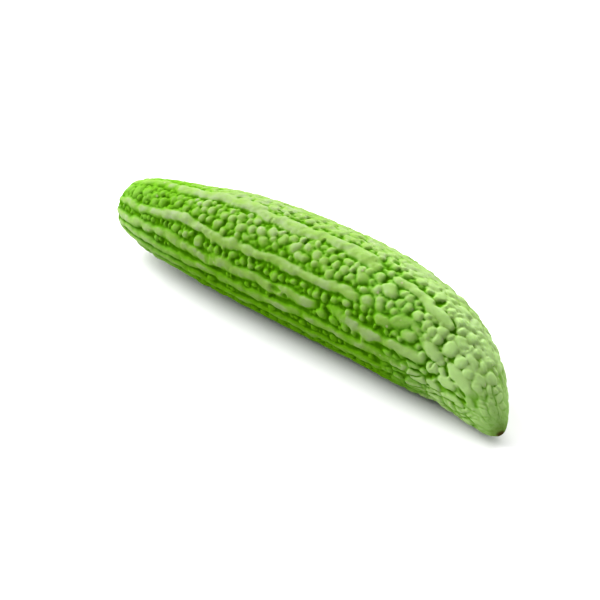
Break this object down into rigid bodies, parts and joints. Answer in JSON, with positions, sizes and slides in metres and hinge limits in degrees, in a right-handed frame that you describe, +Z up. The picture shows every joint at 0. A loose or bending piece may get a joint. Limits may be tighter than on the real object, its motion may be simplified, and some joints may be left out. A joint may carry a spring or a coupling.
{
  "type": "bitter gourd",
  "caption": "Bitter gourd lying on its side: a long bowed fruit with a blunt stem end, a pointed tip, smooth lengthwise ridges and bands of rounded warts.",
  "frame": {"origin": "bottom centre of the gourd's bounding box, on the surface it lies on", "axes": "+Z up, +X along the gourd from its stem end to its tip"},
  "size_m": [0.249, 0.0616, 0.0532],
  "materials": {
    "skin": "waxy green skin, paler on the crowns of the ridges and warts and deep green in the grooves"
  },
  "bodies": {
    "root": {"gourd": "skin"}
  },
  "joints": []
}
